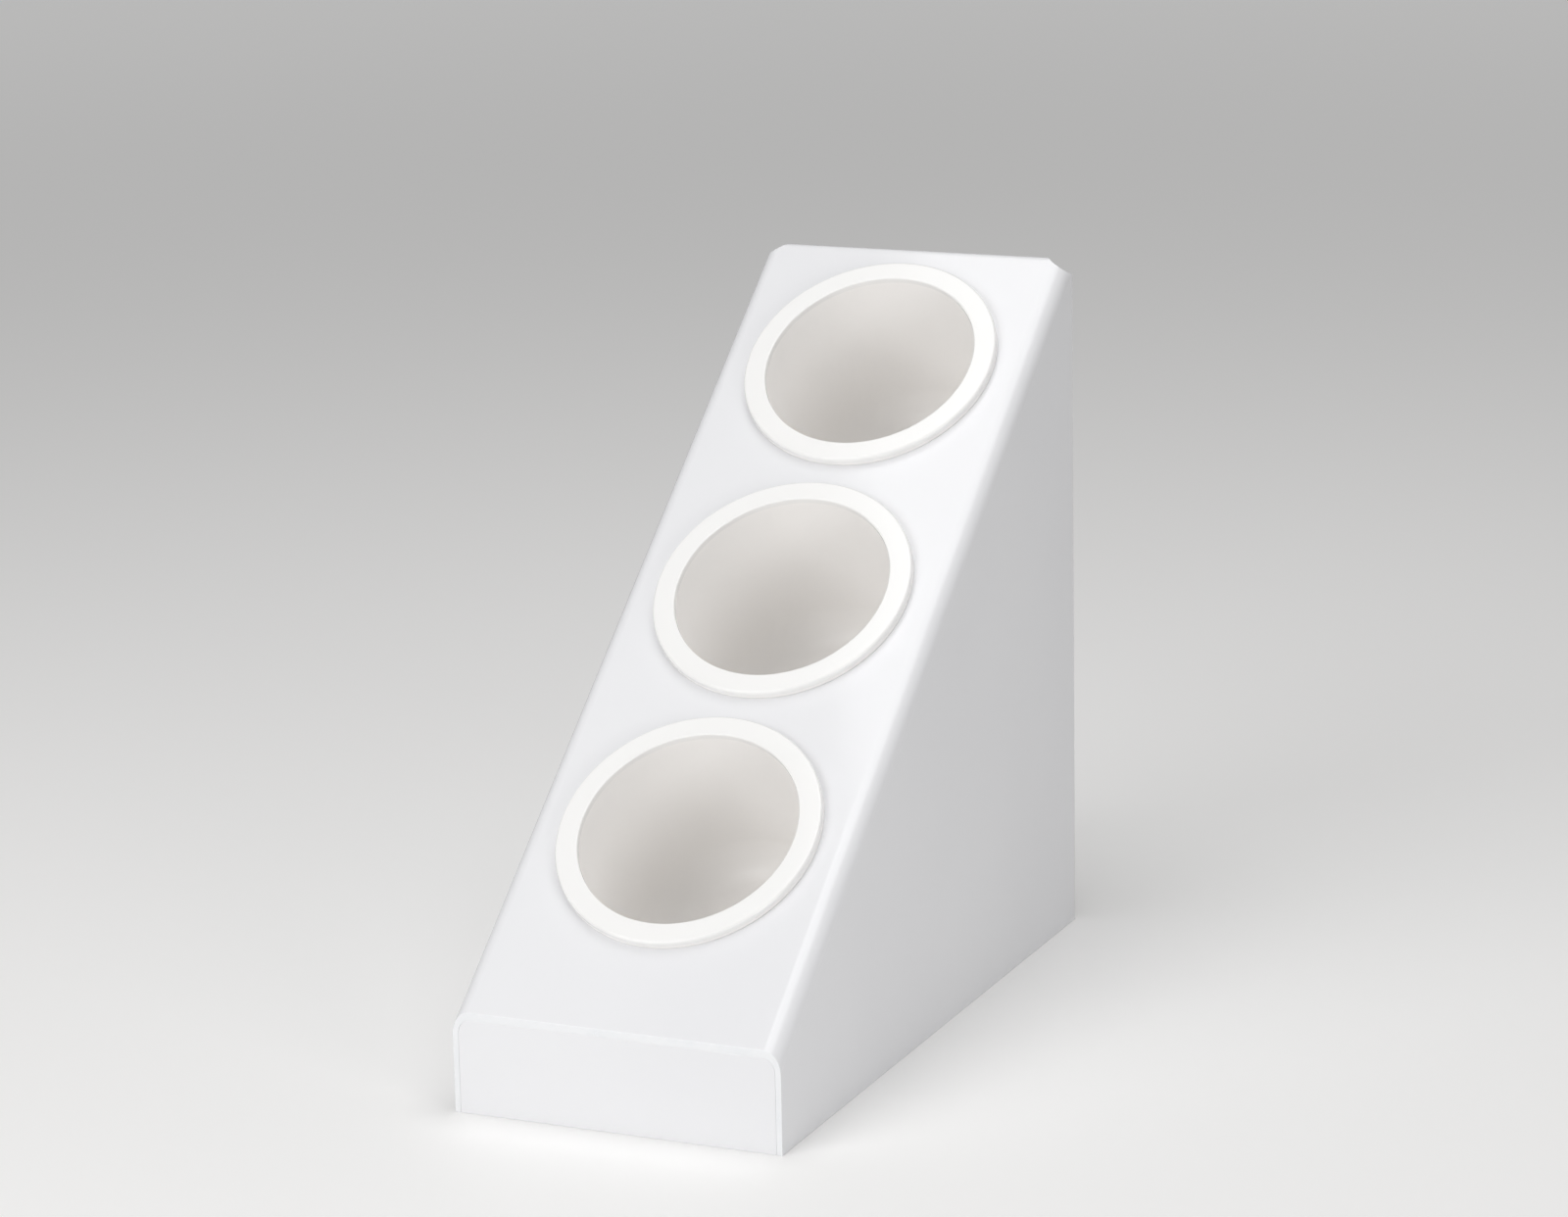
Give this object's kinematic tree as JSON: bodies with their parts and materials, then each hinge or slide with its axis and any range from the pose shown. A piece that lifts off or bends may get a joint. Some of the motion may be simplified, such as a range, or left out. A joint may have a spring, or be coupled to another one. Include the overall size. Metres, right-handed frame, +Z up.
{
  "type": "cutlery dispenser",
  "caption": "Wedge-shaped countertop stand of bent sheet whose sloping face holds lift-out round containers for cutlery.",
  "frame": {"origin": "middle of the whole object's footprint, on the table", "axes": "+X to the right, +Y from the low front edge towards the high back, +Z up"},
  "size_m": [0.23, 0.5668, 0.4833],
  "materials": {
    "stand_acrylic": "gloss white sheet with polished edges",
    "front_acrylic": "gloss white sheet with polished edges",
    "container_white": "smooth glazed warm white"
  },
  "bodies": {
    "stand": {"stand_shell": "stand_acrylic", "front_plate": "front_acrylic"},
    "lower": {"lower_container": "container_white"},
    "middle": {"middle_container": "container_white"},
    "upper": {"upper_container": "container_white"}
  },
  "joints": [
    {"name": "lower_lift", "type": "slide", "parent": "stand", "child": "lower", "axis": [0, -0.6269, 0.7791], "range_m": [0, 0.16]},
    {"name": "middle_lift", "type": "slide", "parent": "stand", "child": "middle", "axis": [0, -0.6269, 0.7791], "range_m": [0, 0.16]},
    {"name": "upper_lift", "type": "slide", "parent": "stand", "child": "upper", "axis": [0, -0.6269, 0.7791], "range_m": [0, 0.16]}
  ]
}
